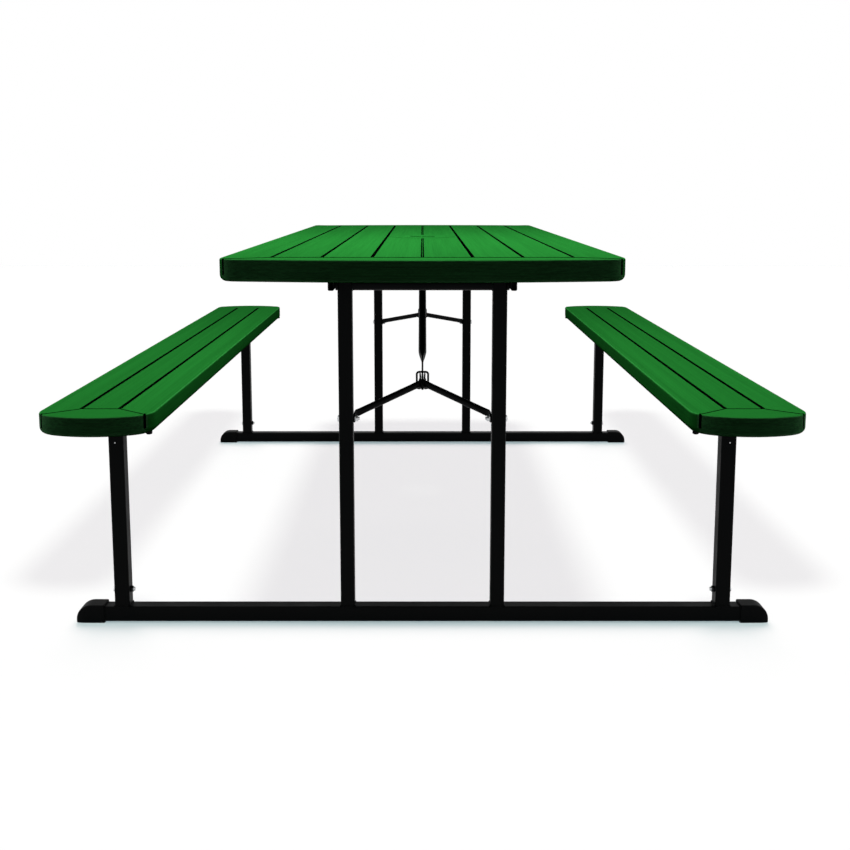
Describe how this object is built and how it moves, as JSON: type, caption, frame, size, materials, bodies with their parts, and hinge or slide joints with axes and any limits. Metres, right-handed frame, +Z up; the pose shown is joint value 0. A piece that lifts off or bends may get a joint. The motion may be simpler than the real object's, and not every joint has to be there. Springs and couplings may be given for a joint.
{
  "type": "folding picnic table with benches",
  "caption": "Folding table with a moulded plank top, attached plank benches, hinged steel end frames and locking braces, and a capped umbrella hole.",
  "frame": {"origin": "on the floor, under the middle of the table top", "axes": "+Z up, +Y along the table to the far end, +X across it to the right bench"},
  "size_m": [1.462, 1.829, 0.757],
  "materials": {
    "green_plank": "moulded wood grain, satin",
    "black_steel": "semi-gloss powder coat",
    "black_plastic": "fine moulded texture",
    "zinc": "bright zinc plate"
  },
  "bodies": {
    "top": {"tabletop": "green_plank", "left_table_rail": "black_steel", "right_table_rail": "black_steel", "near_brace_anchor": "black_steel", "far_brace_anchor": "black_steel", "near_anchor_pin": "zinc", "far_anchor_pin": "zinc"},
    "cap": {"umbrella_cap": "green_plank"},
    "near_frame": {"near_floor_rail": "black_steel", "near_crossbar": "black_steel", "near_left_leg": "black_steel", "near_left_arm_bolt": "zinc", "near_left_bench_post": "black_steel", "near_left_post_bolt": "zinc", "near_left_foot_cap": "black_plastic", "near_right_leg": "black_steel", "near_right_arm_bolt": "zinc", "near_right_bench_post": "black_steel", "near_right_post_bolt": "zinc", "near_right_foot_cap": "black_plastic"},
    "near_link": {"near_brace_link": "black_steel"},
    "near_arms": {"near_left_brace_arm": "black_steel", "near_left_arm_nut": "zinc", "near_right_brace_arm": "black_steel", "near_right_arm_nut": "zinc", "near_elbow_rivet": "zinc"},
    "near_ring": {"near_lock_ring": "black_steel"},
    "near_left_slide": {"near_left_bench_slide": "black_plastic", "near_left_slide_pin": "zinc"},
    "near_right_slide": {"near_right_bench_slide": "black_plastic", "near_right_slide_pin": "zinc"},
    "far_frame": {"far_floor_rail": "black_steel", "far_crossbar": "black_steel", "far_left_leg": "black_steel", "far_left_arm_bolt": "zinc", "far_left_bench_post": "black_steel", "far_left_post_bolt": "zinc", "far_left_foot_cap": "black_plastic", "far_right_leg": "black_steel", "far_right_arm_bolt": "zinc", "far_right_bench_post": "black_steel", "far_right_post_bolt": "zinc", "far_right_foot_cap": "black_plastic"},
    "far_link": {"far_brace_link": "black_steel"},
    "far_arms": {"far_left_brace_arm": "black_steel", "far_left_arm_nut": "zinc", "far_right_brace_arm": "black_steel", "far_right_arm_nut": "zinc", "far_elbow_rivet": "zinc"},
    "far_ring": {"far_lock_ring": "black_steel"},
    "far_left_slide": {"far_left_bench_slide": "black_plastic", "far_left_slide_pin": "zinc"},
    "far_right_slide": {"far_right_bench_slide": "black_plastic", "far_right_slide_pin": "zinc"},
    "left_seat": {"left_bench": "green_plank", "near_left_track": "black_steel", "far_left_track": "black_steel"},
    "right_seat": {"right_bench": "green_plank", "near_right_track": "black_steel", "far_right_track": "black_steel"}
  },
  "joints": [
    {"name": "near_frame_fold", "type": "hinge", "parent": "top", "child": "near_frame", "pos_m": [0, -0.75, 0.698], "axis": [1, 0, 0], "range_deg": [0, 87]},
    {"name": "near_link_swing", "type": "hinge", "parent": "top", "child": "near_link", "pos_m": [0, -0.06, 0.7], "axis": [1, 0, 0], "range_deg": [-18.98, 0]},
    {"name": "near_elbow", "type": "hinge", "parent": "near_link", "child": "near_arms", "pos_m": [0, -0.59481, 0.47418], "axis": [1, 0, 0], "range_deg": [0, 190.03]},
    {"name": "near_ring_slide", "type": "slide", "parent": "near_link", "child": "near_ring", "axis": [0, 0.9212, 0.389], "range_m": [0, 0.2405]},
    {"name": "near_left_slide_pivot", "type": "hinge", "parent": "near_frame", "child": "near_left_slide", "pos_m": [-0.6165, -0.75, 0.407], "axis": [1, 0, 0], "range_deg": [-87, 0]},
    {"name": "near_right_slide_pivot", "type": "hinge", "parent": "near_frame", "child": "near_right_slide", "pos_m": [0.6165, -0.75, 0.407], "axis": [1, 0, 0], "range_deg": [-87, 0]},
    {"name": "far_frame_fold", "type": "hinge", "parent": "top", "child": "far_frame", "pos_m": [0, 0.75, 0.698], "axis": [1, 0, 0], "range_deg": [-87, 0]},
    {"name": "far_link_swing", "type": "hinge", "parent": "top", "child": "far_link", "pos_m": [0, 0.06, 0.7], "axis": [1, 0, 0], "range_deg": [0, 18.98]},
    {"name": "far_elbow", "type": "hinge", "parent": "far_link", "child": "far_arms", "pos_m": [0, 0.59481, 0.47418], "axis": [1, 0, 0], "range_deg": [-190.03, 0]},
    {"name": "far_ring_slide", "type": "slide", "parent": "far_link", "child": "far_ring", "axis": [0, -0.9212, 0.389], "range_m": [0, 0.2405]},
    {"name": "far_left_slide_pivot", "type": "hinge", "parent": "far_frame", "child": "far_left_slide", "pos_m": [-0.6165, 0.75, 0.407], "axis": [1, 0, 0], "range_deg": [0, 87]},
    {"name": "far_right_slide_pivot", "type": "hinge", "parent": "far_frame", "child": "far_right_slide", "pos_m": [0.6165, 0.75, 0.407], "axis": [1, 0, 0], "range_deg": [0, 87]},
    {"name": "left_seat_travel", "type": "slide", "parent": "near_left_slide", "child": "left_seat", "axis": [0, 1, 0], "range_m": [-0.2907, 0]},
    {"name": "right_seat_travel", "type": "slide", "parent": "near_right_slide", "child": "right_seat", "axis": [0, 1, 0], "range_m": [-0.2907, 0]},
    {"name": "cap_lift", "type": "slide", "parent": "top", "child": "cap", "axis": [0, 0, 1], "range_m": [0, 0.06]}
  ],
  "couplings": [
    {"joint": "near_link_swing", "follows": "near_frame_fold", "ratio": -0.21806},
    {"joint": "near_elbow", "follows": "near_frame_fold", "ratio": 2.1842},
    {"joint": "near_ring_slide", "follows": "near_frame_fold", "m_per_rad": 0.15806},
    {"joint": "near_left_slide_pivot", "follows": "near_frame_fold", "ratio": -1},
    {"joint": "near_right_slide_pivot", "follows": "near_frame_fold", "ratio": -1},
    {"joint": "far_frame_fold", "follows": "near_frame_fold", "ratio": -1},
    {"joint": "far_link_swing", "follows": "near_frame_fold", "ratio": 0.21806},
    {"joint": "far_elbow", "follows": "near_frame_fold", "ratio": -2.1842},
    {"joint": "far_ring_slide", "follows": "near_frame_fold", "m_per_rad": 0.15806},
    {"joint": "far_left_slide_pivot", "follows": "near_frame_fold", "ratio": 1},
    {"joint": "far_right_slide_pivot", "follows": "near_frame_fold", "ratio": 1},
    {"joint": "left_seat_travel", "follows": "near_frame_fold", "m_per_rad": -0.19138},
    {"joint": "right_seat_travel", "follows": "near_frame_fold", "m_per_rad": -0.19138}
  ]
}
